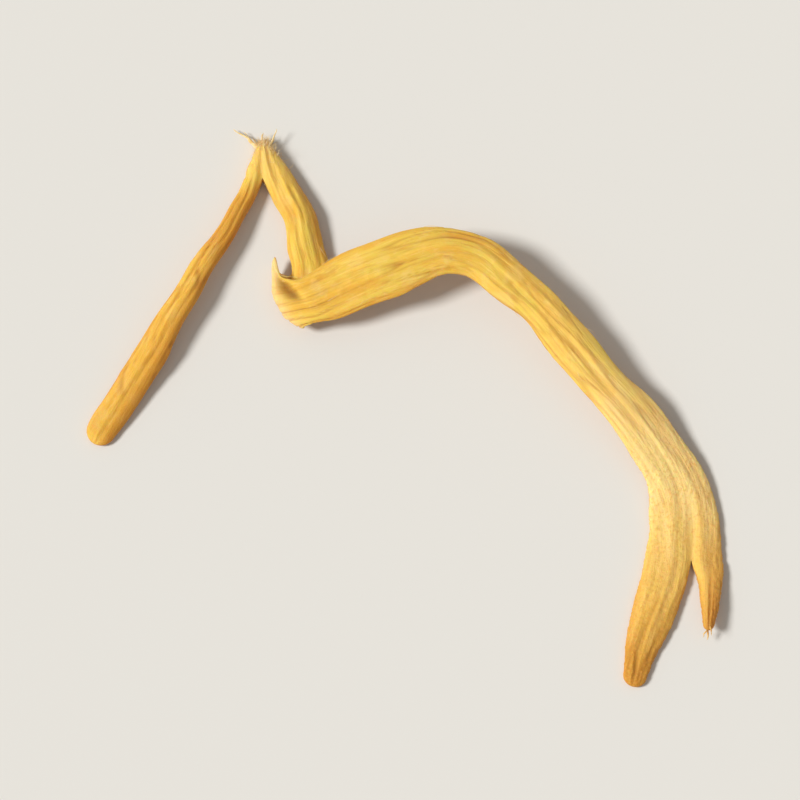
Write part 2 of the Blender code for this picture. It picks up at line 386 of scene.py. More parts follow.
print("a child takes", FORK_FADE, "mm to come into its own section")

# %% Dividing and closing
CHAIN = 9  # points inside a fork


def divide(ring, low, high):
    """Divides a ring at its two valley points and gives the two first rings of the children.

    Formula: the chain's points are even shares of the straight way from one valley point to the
    other. One child takes the ring's points between them and the chain, the other the rest.
    """
    share = (np.arange(1, CHAIN + 1) / (CHAIN + 1))[:, None]
    begin, end = all_points()[ring[[high, low]]]
    chain = add_points(begin * (1 - share) + end * share)
    turned = np.roll(ring, -low)
    reach = (high - low) % len(ring)
    plus = np.concatenate([turned[: reach + 1], chain])
    minus = np.concatenate([turned[reach:], turned[:1], chain[::-1]])
    return plus, minus


def close_end(ring, station, along, aside, outward):
    """Closes a strand's end with a fan round the station's middle."""
    middle = add_points(np.array([*(station[:3] - MIDDLE), along, aside, 0.0]))
    beside = np.roll(ring, -1)
    pair = [ring, beside] if outward else [beside, ring]
    skin["faces"].append(np.stack([*pair, np.full(len(ring), middle)], -1))


print("a fork's inside is a chain of", CHAIN, "points")

# %% [markdown]
# ## The foot
# The foot is the torn lump in which both stems are grown together. It could be a lump of its own
# with the stems pushed into it, but then a seam would show. So it is a short strand that comes
# first, and its last ring is divided into the beginnings of the two stems.

# %% Foot
# A valley's middle across, its depth, its spread across and its reach along the strand.
FOOT_VALLEY = (-0.29, 0.55, 0.2, 1.6)
FOOT_RINGS, FOOT_PHASE, FOOT_FLATNESS = 34, 0.4, 0.45
BROAD_AROUND, SLIM_AROUND = 112, 52  # points round each stem


def valley_angle(middle):
    """The angle on the upper face at which the oval's sideways share is middle."""
    return math.acos(math.copysign(abs(middle) ** (SQUARENESS / 2), middle))


foot_pinch = valley_angle(FOOT_VALLEY[0])
foot_counts = [BROAD_AROUND - CHAIN - 1, SLIM_AROUND - CHAIN - 1]
foot_anchors = [-foot_pinch, foot_pinch, TURN - foot_pinch]
foot_angles = even_angles(foot_anchors, foot_counts, FOOT_FLATNESS)
foot_length = float(stretches(FOOT)[-1])
foot_stops = np.linspace(0, foot_length, FOOT_RINGS)
foot_grid = add_strand(FOOT, foot_stops, foot_angles, FOOT_PHASE, valley=FOOT_VALLEY)
broad_first, slim_first = divide(foot_grid[-1], 0, foot_counts[0])
print("foot", foot_grid.shape, "forks into rings of", len(broad_first), "and", len(slim_first))

# %% [markdown]
# ## The slim stem
# It runs nearly straight and ends in a blunt, rounded tip. A tip could be capped with half a ball,
# but the ball's edge would show as a line. Here the rings themselves shrink as a circle does and
# crowd together towards the end. The head's two tips are ended in the same way further on.

# %% Slim stem
PINCH = math.radians(14)  # half the angle that a fork's chain takes up in a child's ring
CHAIN_AT_RIGHT = [PINCH, TURN - PINCH, TURN + PINCH]  # the child lies left of its fork
CHAIN_AT_LEFT = [PINCH - math.pi, math.pi - PINCH, math.pi + PINCH]
ROUNDING = np.radians(np.linspace(0, 86, 9))  # how the last rings crowd towards a tip


def grow_to_tip(stations, first, start, aside, phase, spacing, round_end, anchors, flatness):
    """Grows a strand from a fork to its closed, rounded tip, and gives its stops and its grid.

    Formula: even stops up to the rounding, which then come closer as 1 - sin of an even angle.
    """
    length = float(stretches(stations)[-1])
    even = np.arange(0, length - round_end, spacing)
    stops = np.concatenate([even, length - round_end * (1 - np.sin(ROUNDING))])
    angles = even_angles(anchors, [len(first) - CHAIN - 1, CHAIN + 1], flatness)
    grid = add_strand(stations, stops, angles, phase, start, aside, first, round_end=round_end)
    close_end(grid[-1], stations[-1], start + length, aside, True)
    return stops, grid


# Place across, phase, spacing, length of the rounding, the chain's side, and flatness.
SLIM_SHAPE = (-1.7, 1.0, 0.17, 1.2, CHAIN_AT_RIGHT, 0.6)
slim_stops, slim_grid = grow_to_tip(STRAIGHT_STEM, slim_first, foot_length, *SLIM_SHAPE)
print("slim stem", slim_grid.shape)

# %% [markdown]
# ## The broad stem
# It is a stalk, a fold, a ribbon that arches over, and a head, all grown as one. Joining four
# pieces would break the wrinkles that run through them, so it is one strand of many rings. They
# are closer together in the head, where the grains are. Towards the head its points turn slowly
# round the ring, so that two of them meet the valleys of the next fork. Its crown makes the stalk
# round and the ribbon flatter.

# %% Broad stem
HEAD_VALLEY = (-0.21, 0.55, 0.13, 3.2)
BROAD_PHASE, BROAD_ASIDE = 2.0, 1.0
RING_SPACING = 0.165
HEAD_RUN, HEAD_RINGS = 14.0, 120  # length before the fork that has the closer rings
TURN_FROM = 0.3  # share of the length at which the points begin to turn
BROAD_FLATNESS = 0.25
# Lengths, and how much rounder than the oval the stem is there.
CROWN = ((0, 0.5), (6, 0.6), (10, 0.1), (15, 0.24), (32, 0.24), (44, 0.3), (58, 0.12))
head_pinch = valley_angle(HEAD_VALLEY[0])
broad_length = float(stretches(FOLDED_STEM)[-1])
head_start = broad_length - HEAD_RUN
broad_stops = np.concatenate(
    [np.arange(0, head_start, RING_SPACING), np.linspace(head_start, broad_length, HEAD_RINGS)]
)
start_angles = even_angles(CHAIN_AT_LEFT, [BROAD_AROUND - CHAIN - 1, CHAIN + 1], BROAD_FLATNESS)
end_anchors = [PINCH - math.pi, -head_pinch, head_pinch, math.pi + PINCH]
end_shares = [math.pi - PINCH - head_pinch, 2 * head_pinch, math.pi + PINCH - head_pinch]
end_edges = np.cumsum([0, *end_shares]) / sum(end_shares) * BROAD_AROUND
end_counts = np.diff(np.round(end_edges).astype(int)).tolist()
end_angles = even_angles(end_anchors, end_counts, BROAD_FLATNESS)
late = smooth(broad_stops, TURN_FROM * broad_length, broad_length)[:, None]
angles = start_angles * (1 - late) + end_angles * late
origin = {"start": foot_length, "offset": BROAD_ASIDE, "first": broad_first}
shape = {"valley": HEAD_VALLEY, "crown": CROWN}
broad_grid = add_strand(FOLDED_STEM, broad_stops, angles, BROAD_PHASE, **origin, **shape)
wide_first, narrow_first = divide(broad_grid[-1], end_counts[0], end_counts[0] + end_counts[1])
print("broad stem", broad_grid.shape, "forks into rings of", len(wide_first), len(narrow_first))

# %% [markdown]
# ## The head's tips
# The head forks into a broad lobe and a pointed one. Each takes its half of the last ring, as the
# stems do at the foot, so that the grains and ridges of the head run on into both of them.

# %% Tips
TIP_SPACING = 0.125
# The same six as the slim stem's.
WIDE_SHAPE = (2.5, 3.0, TIP_SPACING, 0.8, CHAIN_AT_LEFT, 0.35)
NARROW_SHAPE = (-1.3, 0.0, TIP_SPACING, 0.5, CHAIN_AT_RIGHT, 0.6)
head_end = foot_length + broad_length
wide_stops, wide_grid = grow_to_tip(WIDE_TIP, wide_first, head_end, *WIDE_SHAPE)
narrow_stops, narrow_grid = grow_to_tip(NARROW_TIP, narrow_first, head_end, *NARROW_SHAPE)
close_end(foot_grid[0], FOOT[0], 0.0, 0.0, False)
print("tips", wide_grid.shape, narrow_grid.shape)

# %% [markdown]
# ## The fold's lip
# Where the broad stem was folded over, its rim was pinched, and the upper corner dried as a thin
# pale lip that stands off the stem. The rim itself is round, not straight. Both are drawn out of
# the skin's own points. Beside them the rim has rolled in a little and left a short hollow, which
# is one more term of the relief below.

# %% Fold
FOLD_RIM = 8  # the station at the fold's rim
LIP = (-0.1, 1.35, 0.3)  # how far the lip's tip is drawn out
LIP_HALF_LENGTH = 0.55
RIM_BULGE = (-0.85, -0.42, 0.0)  # how far the rim's middle stands out
RIM_HALF_LENGTH = 1.0
RIM_ASIDE, RIM_HALF_WIDTH = 1.0, 3.2  # where it does across, and how far to either side
ROLL = (0.62, 1.3, 0.42)  # the hollow's depth, its distance from the rim, its width
ROLL_SLANT = 0.25  # how much further from the rim it is, for each mm across
BEAD = (0.16, 0.3, 0.42)  # the rolled rim's height, distance from the fold's middle and width
# Where each begins and is full: the lip and the hollow across, and the hollow by up share, on
# the face in view.
LIP_ASIDE, ROLL_ASIDE, ROLL_TOP = (-0.4, -2.1), (1.5, 0.0), (-0.2, -0.8)
points, coords = np.split(all_points(), 2, axis=1)
along, aside, up_share = coords.T
from_rim = along - foot_length - float(stretches(FOLDED_STEM)[FOLD_RIM])
on_broad = np.zeros(len(points))
on_broad[broad_grid[1:]] = 1
lip_share = on_broad * bell(from_rim / LIP_HALF_LENGTH) * smooth(aside, *LIP_ASIDE) ** 2
bulge = on_broad * bell(from_rim / RIM_HALF_LENGTH)
bulge *= np.clip(1 - ((aside - RIM_ASIDE) / RIM_HALF_WIDTH) ** 2, 0, 1)
points = points + lip_share[:, None] * np.array(LIP) + bulge[:, None] * np.array(RIM_BULGE)
curved = from_rim - ROLL[1] - ROLL_SLANT * aside
roll = on_broad * bell(curved / ROLL[2]) * smooth(aside, *ROLL_ASIDE)
roll *= smooth(up_share, *ROLL_TOP)
bead = on_broad * bell((from_rim - BEAD[1]) / BEAD[2])
print("the lip is drawn out by", round(float(lip_share.max() * np.linalg.norm(LIP)), 2), "mm")

# %% [markdown]
# ## Wrinkles, pits and grains
# A dried stem shrinks across its fibres far more than along them, so its skin falls into long
# furrows that wander, end and begin again. The head is covered in fine round grains, in which the
# spores ripen. Both are made by moving the skin's points in and out along its normals. A furrow
# follows the line where a stretched noise passes one value, which is what makes it wander.

# %% Relief
NOISE_MIDDLE = 0.47
AROUND = 0.8  # how fast a pattern changes from the upper face to the lower one
HEAD_FROM = head_end - 17.0  # length at which the grains set in
HEAD_GRADE = 9.0  # length over which they do
CALMER = (HEAD_FROM + 4, HEAD_FROM - 12)  # lengths between which the furrows get shallower
LONG_FURROW = (0.11, 13.0, 1.0, 0.035)  # depth, length, spacing and share of the noise's range
SHORT_FURROW = (0.075, 6.0, 0.42, 0.045)
FURROW_PATCH = (5.0, 2.0)  # length and width of the patches with deep furrows
PATCH_EDGE = (0.3, 0.6)  # values of the noise at which a patch begins and is full
SHALLOWEST = 0.35  # depth of the furrows between them
FIBRE = (0.05, 2.4, 0.18)  # height, length, width
FIBRE_ROUND = 5
LUMP = (0.11, 3.6, 1.7)
GRAIN = (0.06, 0.34)  # height, spacing
PIT = (0.05, 0.8)
PIT_SHIFT = 7.7  # keeps the pits off the grains' places
PITTED = (-0.05, 0.1)  # values of the lumps at which pits begin and are full
STEM_GRAIN = 0.15  # the grains' height on the stems, as a share of the head's
HEAD_FIBRE = 0.4  # the fibres' height on the head, as a share of the stems'
HEAD_CALM = 0.5  # the furrows' depth there, likewise


def furrow(kind, seed):
    """1 on the furrows' lines and 0 away from them.

    Formula: a bell curve of the stretched noise's distance from its middle value.
    """
    length, spacing, share = kind[1:]
    value = noise(along / length, aside / spacing, up_share * AROUND, seed)
    return bell((value - NOISE_MIDDLE) / share)


long_furrows = furrow(LONG_FURROW, 1)
short_furrows = furrow(SHORT_FURROW, 2)
headness = smooth(along, HEAD_FROM, HEAD_FROM + HEAD_GRADE)
patches = noise(along / FURROW_PATCH[0], aside / FURROW_PATCH[1], up_share, 3)
deepness = fade(patches, *PATCH_EDGE, SHALLOWEST) * fade(along, *CALMER, HEAD_CALM)
ribs = noise(along / FIBRE[1], aside / FIBRE[2], up_share * FIBRE_ROUND, 4) - 0.5
lumps = noise(along / LUMP[1], aside / LUMP[2], up_share, 5) - NOISE_MIDDLE
grains = domes(points / GRAIN[1])
pits = domes(points / PIT[1] + PIT_SHIFT) * smooth(lumps, *PITTED)
print("furrows cover", round(float(long_furrows.mean() + short_furrows.mean()), 2), "of the skin")

# %% Where the relief is calm
FOOT_CALM = (2, 6, 0.6)  # lengths at which it begins to rise and is full, and the least of it
SLIM_CALM = (3, 0, 0.6)  # the slim stem dried with shallower wrinkles than the rest
TIP_CALM = 1.0  # length over which the relief fades out towards a tip
FORK_CALM = 12  # rings over which a fork's inside stays smooth
FORK_BESIDE = 2  # points to either side of it that do, too
CREASE_CALM = 1.6  # length over which the fold's inner side does, either way from the rim
INNER_SIDE = (0, 0.4)  # up shares at which that side begins and is full
calm = np.zeros(len(points))
child_grids = (slim_grid, broad_grid, wide_grid, narrow_grid)
for grid in (foot_grid, *child_grids):
    calm[grid] = fade(along[grid], *FOOT_CALM)
calm[slim_grid] *= fade(slim_stops, *SLIM_CALM)[:, None]
for grid, stops in ((slim_grid, slim_stops), (wide_grid, wide_stops), (narrow_grid, narrow_stops)):
    calm[grid] *= smooth(stops[-1] - stops, 0, TIP_CALM)[:, None]
for grid in child_grids:
    calm[grid[:FORK_CALM, -CHAIN - FORK_BESIDE :]] = 0
    calm[grid[:FORK_CALM, :FORK_BESIDE]] = 0
inner = smooth(up_share, *INNER_SIDE)
calm *= 1 - on_broad * smooth(np.abs(from_rim), CREASE_CALM, 0.5 * CREASE_CALM) * inner
wrinkles = (
    -LONG_FURROW[0] * long_furrows * deepness
    - SHORT_FURROW[0] * short_furrows * deepness
    + FIBRE[0] * ribs * (1 - (1 - HEAD_FIBRE) * headness)
    + LUMP[0] * lumps
    + GRAIN[0] * grains * (STEM_GRAIN + (1 - STEM_GRAIN) * headness)
    - PIT[0] * pits
)
relief = wrinkles * calm - ROLL[0] * roll + BEAD[0] * bead * (1 - inner)
print("relief from", round(float(relief.min()), 2), "to", round(float(relief.max()), 2), "mm")

# %% [markdown]
# ## The skin as a mesh
# The points are moved along the normals that Blender works out for the smooth skin. Where a stem
# lies on the floor it is pressed flat, with a small rounding instead of a sharp rim. The length,
# the place across, the furrows and the grains are kept as attributes, for the material to read.

# %% Mesh
PRESSED = 0.05  # rounding where the skin meets the floor
scene = bpy.context.scene


def smooth_mesh(name, points, *faces):
    """A smooth mesh of points in millimetres and arrays of faces."""
    mesh = bpy.data.meshes.new(name)
    mesh.from_pydata((points * MM).tolist(), [], [f for group in faces for f in group.tolist()])
    mesh.shade_smooth()
    return mesh


def new_object(name, data):
    """A new object of the data, in the scene."""
    made = bpy.data.objects.new(name, data)
    scene.collection.objects.link(made)
    return made


quads = np.concatenate([f for f in skin["faces"] if f.shape[1] == 4])
fans = np.concatenate([f for f in skin["faces"] if f.shape[1] == 3])
body_mesh = smooth_mesh("fungus_body", points, quads, fans)
flat_normals = np.zeros(len(points) * 3, np.float32)
body_mesh.vertex_normals.foreach_get("vector", flat_normals)
normals = flat_normals.reshape(-1, 3)
moved = points + normals * relief[:, None]
height = moved[:, 2] - PRESSED
moved[:, 2] = 0.5 * (height + np.sqrt(height**2 + PRESSED**2))
body_mesh.vertices.foreach_set("co", (moved * MM).astype(np.float32).ravel())
print("body", len(points), "points,", 2 * len(quads) + len(fans), "triangles")

# %% Marks for the material
FURROW_MARK = (0.7, 0.42)  # how strongly long and short furrows are coloured
# how strongly the rolled rim is painted pale, a painted highlight
BEAD_MARK = 0.8
SLIM_FROM = (0, 2.5)  # lengths at which the slim stem's own colour begins and is full
FACING_DOWN = (-0.75, 0.35)  # how far down a face looks where its shade begins and is full
THIN_EDGE = (0.6, 0.15)  # squared up shares at which a strand's edge begins and is full
slimness = np.zeros(len(points))
slimness[slim_grid] = smooth(slim_stops, *SLIM_FROM)[:, None]
# Faces that look down or sideways are marked for painted shade, a deeper orange.
painted_underside_shade = smooth(-normals[:, 2], *FACING_DOWN)
furrow_mark = FURROW_MARK[0] * long_furrows + FURROW_MARK[1] * short_furrows
MARKS = {
    # deeper orange in the furrows: partly the flesh's own colour, partly painted shade
    "furrow": np.clip(furrow_mark * deepness, 0, 1),
    "grain": grains * headness,
    # painted shade in the fold's hollow
    "hollow": roll,
    # the lip's own pale colour, and a painted highlight along the rolled rim
    "edge": np.clip(BEAD_MARK * bead + lip_share, 0, 1),
    # deeper orange along the thin edges: partly their own colour, partly painted shade
    "rim": smooth(up_share**2, *THIN_EDGE),
    # painted shade on faces that look down or sideways
    "shade": painted_underside_shade * (1 - lip_share),
    "slim": slimness,
}
course = body_mesh.attributes.new("flow", "FLOAT_VECTOR", "POINT")
course.data.foreach_set("vector", coords.astype(np.float32).ravel())
for name, values in MARKS.items():
    mark = body_mesh.attributes.new(name, "FLOAT", "POINT")
    mark.data.foreach_set("value", values.astype(np.float32))
body_mesh.update()
body = new_object("fungus_body", body_mesh)
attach(body, "root")
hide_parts("foot", "straight_stem", "folded_stem", "wide_tip", "narrow_tip")
print("marks:", {name: round(float(values.mean()), 3) for name, values in MARKS.items()})

# %% [markdown]
# ## Tools for materials
# Colours are written as they look on a screen, in sRGB hex, and turned to the linear values that
# Blender computes with. One function adds any node with its inputs and its settings.

# %% Node tools
def srgb(code):
    """Linear colour of an sRGB hex code such as #ecbe58."""
    parts = np.array([int(code[i : i + 2], 16) for i in (1, 3, 5)]) / 255
    linear = np.where(parts <= 0.04045, parts / 12.92, ((parts + 0.055) / 1.055) ** 2.4)
    return (*linear.tolist(), 1.0)


def set_inputs(tree, node, inputs):
    """Sets a node's inputs; an input is a value, or an output of another node to link from."""
    for key, value in inputs.items():
        if isinstance(value, bpy.types.NodeSocket):
            tree.links.new(value, node.inputs[key])
        else:
            node.inputs[key].default_value = value


def add_node(tree, kind, inputs=None, **settings):
    """Adds a shader node of a kind, with its inputs and settings."""
    made = tree.nodes.new("ShaderNode" + kind)
    for key, value in settings.items():
        setattr(made, key, value)
    set_inputs(tree, made, inputs or {})
    return made


def new_finish(name):
    """A new material, its node tree and its shader."""
    finish = bpy.data.materials.new(name)
    finish.use_nodes = True
    return finish, finish.node_tree, finish.node_tree.nodes["Principled BSDF"]


print("#ecbe58 in linear light is", [round(part, 3) for part in srgb("#ecbe58")[:3]])

# %% [markdown]
# ## Patterns in the flesh
# The dried flesh is a felt of fine threads that run along the stem, so its colour lies in streaks,
# with patches and specks where it dried sooner or was rubbed. An image could hold that, but noise
# read from the skin's own length and place across follows every bend and stays sharp close up.
# Specks are noise in plain space. The real threads are a hundredth of a millimetre thick, too
# fine to show, so the finest streaks here are ten times as coarse.

# %% Patterns
STREAKS = {  # length and width in mm, and detail
    "drying": (11.0, 1.1, 4.0),
    "yellowing": (5.0, 2.2, 2.0),
    "dark thread": (2.6, 0.2, 3.0),
    "pale thread": (1.6, 0.13, 2.0),
    "bruise": (3.4, 0.9, 4.0),
    "border": (7.0, 0.8, 3.0),
    "felt": (1.8, 0.11, 4.0),
}
SPECKS = {  # size in mm, and detail
    "patch": (4.0, 2.0),
    "bloom": (2.4, 2.0),
    "crumb": (0.9, 3.0),
    "gloss": (0.5, 3.0),
    "grit": (0.13, 4.0),
}
STREAK_ROUGHNESS = 0.6
BORDER_WANDER = 14.0  # length over which the head's and the foot's borders are ragged
flesh, flesh_tree, flesh_shader = new_finish("air_dried_cordyceps_flesh")
flow = add_node(flesh_tree, "Attribute", attribute_name="flow").outputs["Vector"]
space = add_node(flesh_tree, "TexCoord").outputs["Object"]
pattern = {}
for name, (length, width, detail) in STREAKS.items():
    scales = {0: flow, 1: (1 / length, 1 / width, AROUND)}
    stretched = add_node(flesh_tree, "VectorMath", scales, operation="MULTIPLY").outputs[0]
    shape = {"Scale": 1.0, "Detail": detail, "Roughness": STREAK_ROUGHNESS}
    made = add_node(flesh_tree, "TexNoise", {"Vector": stretched, **shape})
    pattern[name] = made.outputs["Fac"]
for name, (size, detail) in SPECKS.items():
    shape = {"Vector": space, "Scale": 1 / (size * MM), "Detail": detail}
    pattern[name] = add_node(flesh_tree, "TexNoise", shape).outputs["Fac"]
for name in MARKS:
    pattern[name] = add_node(flesh_tree, "Attribute", attribute_name=name).outputs["Fac"]
parts = add_node(flesh_tree, "SeparateXYZ", {0: flow}).outputs
pattern["length"], pattern["across"] = parts[0], parts[1]
wandering = {0: pattern["border"], 1: BORDER_WANDER, 2: pattern["length"]}
made = add_node(flesh_tree, "Math", wandering, operation="MULTIPLY_ADD")
pattern["ragged length"] = made.outputs[0]
print("the flesh's colours can follow", ", ".join(pattern))

# %% [markdown]
# ## Stains
# The colour runs from cream at the foot to gold on the ribbon and pale straw on the head, with
# orange on the slim stem, on the grains, along the thin edges and in the furrows. Part of it is
# painted light: painted shade in the furrows, along the thin edges, in the fold's hollow, on the
# undersides and on the stems' right flanks, and painted light that makes the fold's rolled rim and
# the head paler. It could be one ramp along the stem, but each of these follows a mark of its
# own. So the colour is laid on as a painter glazes: one stain over another, each where its patterns
# are strong.

# %% Stains
BASE = "#e9b642"
# Colour, strength, and the patterns that it follows, each with the values at which the stain
# begins and is full. A mark that begins at 0 and is full at 1 is used as it stands.
STAINS = (
    ("#f1c853", 1.0, ("drying", 0.38, 0.62)),
    ("#ebb640", 0.4, ("patch", 0.45, 0.66)),
    ("#f7cd68", 0.7, ("length", 32, 50)),
    ("#e8cd58", 0.55, ("yellowing", 0.48, 0.62)),
    ("#f9d987", 0.3, ("bloom", 0.54, 0.66)),
    ("#d08f34", 0.3, ("dark thread", 0.5, 0.72)),
    ("#f8d884", 0.4, ("pale thread", 0.52, 0.75)),
    ("#f7d27a", 0.35, ("crumb", 0.52, 0.75)),
    ("#c98630", 0.4, ("bruise", 0.6, 0.74)),
    # the pale head, partly painted light, its middle, the narrow lobe and the tips' ends
    # a paler head: partly its own colour, partly painted light
    (
        "#ffdd92",
        0.85,
        ("ragged length", HEAD_FROM, HEAD_FROM + 15),
        ("ragged length", head_end + 14, head_end),
    ),
    ("#ebbb58", 0.6, ("ragged length", head_end - 2, head_end + 10)),
    ("#dd9a3a", 0.5, ("length", head_end - 6, head_end + 1), ("across", -0.2, -1.8)),
    ("#c58524", 0.8, ("ragged length", head_end + 9, head_end + 17)),
    ("#a86420", 0.6, ("length", head_end + 1.5, head_end + 6), ("across", -0.2, -1.8)),
    # the cream foot, the orange slim stem, and painted shade on the stems' right flanks
    ("#f2cd70", 0.8, ("ragged length", 15, 7)),
    ("#de9832", 0.34, ("slim", 0, 1)),
    ("#cf862a", 0.5, ("slim", 0, 1), ("length", foot_length + 10, foot_length + 6.5)),
    # painted shade: the slim stem's and the stalk's right flanks are a deeper orange
    ("#c87d1c", 0.6, ("slim", 0, 1), ("across", -1.6, -0.5)),
    ("#d98f2a", 0.5, ("across", 1.4, 2.5), ("length", 13.5, 10)),
    # the thin edges of the ribbon and of the tips, a deeper orange that is partly painted shade,
    # and painted shade on the undersides
    # deeper orange along the thin edges: partly their own colour, partly painted shade
    ("#d99632", 0.45, ("rim", 0, 1), ("length", 18, 21), ("length", 34, 29)),
    ("#cc8e2e", 0.55, ("rim", 0, 1), ("length", head_end - 1, head_end + 4)),
    # painted shade on faces that look down or sideways
    ("#d0862a", 0.75, ("shade", 0, 1)),
    # the fold's pale lip and rolled rim, painted shade in the hollow behind it, the furrows and the
    # grains
    # the lip's own pale colour, and a painted highlight along the rolled rim
    ("#fcdc9c", 0.75, ("edge", 0, 1)),
    # painted shade: dark brown in the fold's hollow
    ("#94601e", 0.85, ("hollow", 0, 1)),
    # deeper orange in the furrows: partly the flesh's own colour, partly painted shade
    ("#bd7826", 0.8, ("furrow", 0, 1), ("length", 0, 12)),
    ("#e0a046", 0.45, ("grain", 0.35, 0.9)),
)
colour = srgb(BASE)
for stain, share, *places in STAINS:
    for name, begins, full in places:
        way = "LINEAR" if (begins, full) == (0, 1) else "SMOOTHSTEP"
        limits = {"From Min": begins, "From Max": full, "To Max": share}
        ranged = {"Value": pattern[name], **limits}
        made = add_node(flesh_tree, "MapRange", ranged, interpolation_type=way)
        share = made.outputs["Result"]
    layers = {0: share, 6: colour, 7: srgb(stain)}
    colour = add_node(flesh_tree, "Mix", layers, data_type="RGBA").outputs[2]
print(len(STAINS), "stains over", BASE)

# %% [markdown]
# ## Dried flesh
# Air-dried cordyceps flesh is matt and slightly translucent. Light goes in, is reddened and comes
# out again near by, so it needs subsurface scattering of just under a millimetre. Its gloss is low
# and uneven, and two bumps give it what the mesh is too coarse for: felt along the stem, and grit.

# %% Flesh material
BUMPS = (("felt", 0.08, 0.8), ("grit", 0.06, 0.7))  # pattern, height in mm, strength
FLESH = {
    "IOR": 1.45,
    "Specular IOR Level": 0.28,
    "Subsurface Weight": 0.5,
    "Subsurface Radius": (1.0, 0.45, 0.12),
    "Subsurface Scale": 0.8 * MM,
    "Sheen Weight": 0.08,
    "Sheen Roughness": 0.5,
}
gloss = {"Value": pattern["gloss"], "To Min": 0.52, "To Max": 0.78}
rough = add_node(flesh_tree, "MapRange", gloss).outputs["Result"]
bumpy = {}
for name, height, strength in BUMPS:
    bump = {"Height": pattern[name], "Distance": height * MM, "Strength": strength, **bumpy}
    bumpy = {"Normal": add_node(flesh_tree, "Bump", bump).outputs["Normal"]}
looks = {"Base Color": colour, "Roughness": rough, **bumpy, **FLESH}
set_inputs(flesh_tree, flesh_shader, looks)
body_mesh.materials.append(flesh)
print("the flesh has", len(flesh_tree.nodes), "nodes")

# %% [markdown]
# ## Tapered tubes
# Torn threads, fluff and loose fibres are all thin tubes that taper. Curves with a bevel could make
# them, but a mesh worked out for all of them together has few faces and closed ends. Rings are
# put round a path for each tube.

# %% Tubes
CLEARANCE = 0.01  # least height of a tube's points above the floor
NO_PATH_WAY = (0.31, 0.17, 0.93)  # a direction that no path takes


def tubes(paths, radii, sides):
    """Points and faces of many tapered tubes; paths is count x steps x 3, radii count x steps.

    Formula: at every step, a ring of centre + radius * (cosine * side + sine * other), where side
    and other are square to the path. Each end is closed by a fan round the path's own point.
    """
    ahead = unit(np.gradient(paths, axis=1))
    side = unit(np.cross(ahead, np.array(NO_PATH_WAY)))
    other = np.cross(ahead, side)
    angle = (np.arange(sides) * TURN / sides)[:, None]
    wheel = side[:, :, None] * np.cos(angle) + other[:, :, None] * np.sin(angle)
    rings = paths[:, :, None] + radii[:, :, None, None] * wheel
    count, steps = paths.shape[:2]
    grid = np.arange(count * steps * sides).reshape(count, steps, sides)
    walls = walls_between(grid[:, :-1], grid[:, 1:])
    first = count * steps * sides + np.arange(count)[:, None] + np.zeros(sides, int)
    begin, end = grid[:, 0], grid[:, -1]
    caps = [[first, np.roll(begin, -1, 1), begin], [first + count, end, np.roll(end, -1, 1)]]
    fans = np.concatenate([np.stack(cap, -1).reshape(-1, 3) for cap in caps])
    middle = np.concatenate([paths[:, 0], paths[:, -1]])
    return np.concatenate([rings.reshape(-1, 3), middle]), walls, fans


def add_tubes(name, paths, radii, sides, finish, slot):
    """Makes one piece of many tubes, kept just above the floor."""
    tube_points, walls, ends = tubes(paths, radii, sides)
    tube_points[:, 2] = np.maximum(tube_points[:, 2], CLEARANCE)
    mesh = smooth_mesh(name, tube_points, walls, ends)
    mesh.materials.append(finish)
    piece = new_object(name, mesh)
    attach(piece, "root")
    print(name, len(paths), "tubes,", 2 * len(walls) + len(ends), "triangles")


trial = tubes(np.linspace((0, 0, 1), (3, 0, 1), 4)[None], np.ones((1, 4)), 6)
print("a tube of 4 rings of 6 has", len(trial[1]), "walls and", len(trial[2]), "end faces")

# %% [markdown]
# ## Dry fibres
# The white bed that the fungus grew in has dried to pale threads, soft and a little silky, because
# light passes along them and scatters at their edges. Where the head's tip is frayed the threads
# are its own flesh, golden and a little darker. Both are one finish in two colourings.

# %% Fibre materials
FIBRE_COLOURS = {
    "dry_mycelium_fibre": ("#f9dfa6", "#ecc279"),
    "torn_flesh_fibre": ("#ecbe6a", "#cf9440"),
}
FIBRE_SPECK = 0.7  # size in mm of the darker and paler places
FIBRE_LOOKS = {
    "Roughness": 0.8,
    "Specular IOR Level": 0.3,
    "Subsurface Weight": 0.3,
    "Subsurface Radius": (1.0, 0.7, 0.4),
    "Subsurface Scale": 0.3 * MM,
    "Sheen Weight": 0.3,
}
fibre_finishes = []
for name, (pale, deep) in FIBRE_COLOURS.items():
    finish, tree, shader = new_finish(name)
    space = add_node(tree, "TexCoord").outputs["Object"]
    shape = {"Vector": space, "Scale": 1 / (FIBRE_SPECK * MM), "Detail": 3.0}
    speck = add_node(tree, "TexNoise", shape).outputs["Fac"]
    limits = {"Value": speck, "From Min": 0.35, "From Max": 0.65}
    ranged = add_node(tree, "MapRange", limits, interpolation_type="SMOOTHSTEP")
    layers = {0: ranged.outputs["Result"], 6: srgb(pale), 7: srgb(deep)}
    tint = add_node(tree, "Mix", layers, data_type="RGBA").outputs[2]
    set_inputs(tree, shader, {"Base Color": tint, **FIBRE_LOOKS})
    fibre_finishes.append(finish)
mycelium_fibre, flesh_fibre = fibre_finishes
print("fibre finishes:", [finish.name for finish in fibre_finishes])

# %% [markdown]
# ## Torn threads
# Where the foot was pulled off its bed, a few threads were torn out of it, and the narrow tip's end
# has frayed into some short ones. Each is set by its root, its bend and its tip, which is enough
# for a smooth curve, and noise crinkles it as drying does.

# %% Torn threads
THREAD_STEPS, THREAD_SIDES, FRAYED_SIDES = 24, 12, 8
CRINKLE = 0.25  # how far a thread wanders aside, as a share of its length
CRINKLE_UP = 0.6  # how far up and down, as a share of that
CRINKLES, BULGES = 4, 8  # changes of way and of thickness along a thread
THINNEST = 0.5  # share of its thickness that every place of a thread keeps
THREAD_APART = 3.3  # how far apart in the noise two threads are, so that no two look alike
ROOT_TAPER = 0.85  # share of its thickness that a thread loses towards its tip
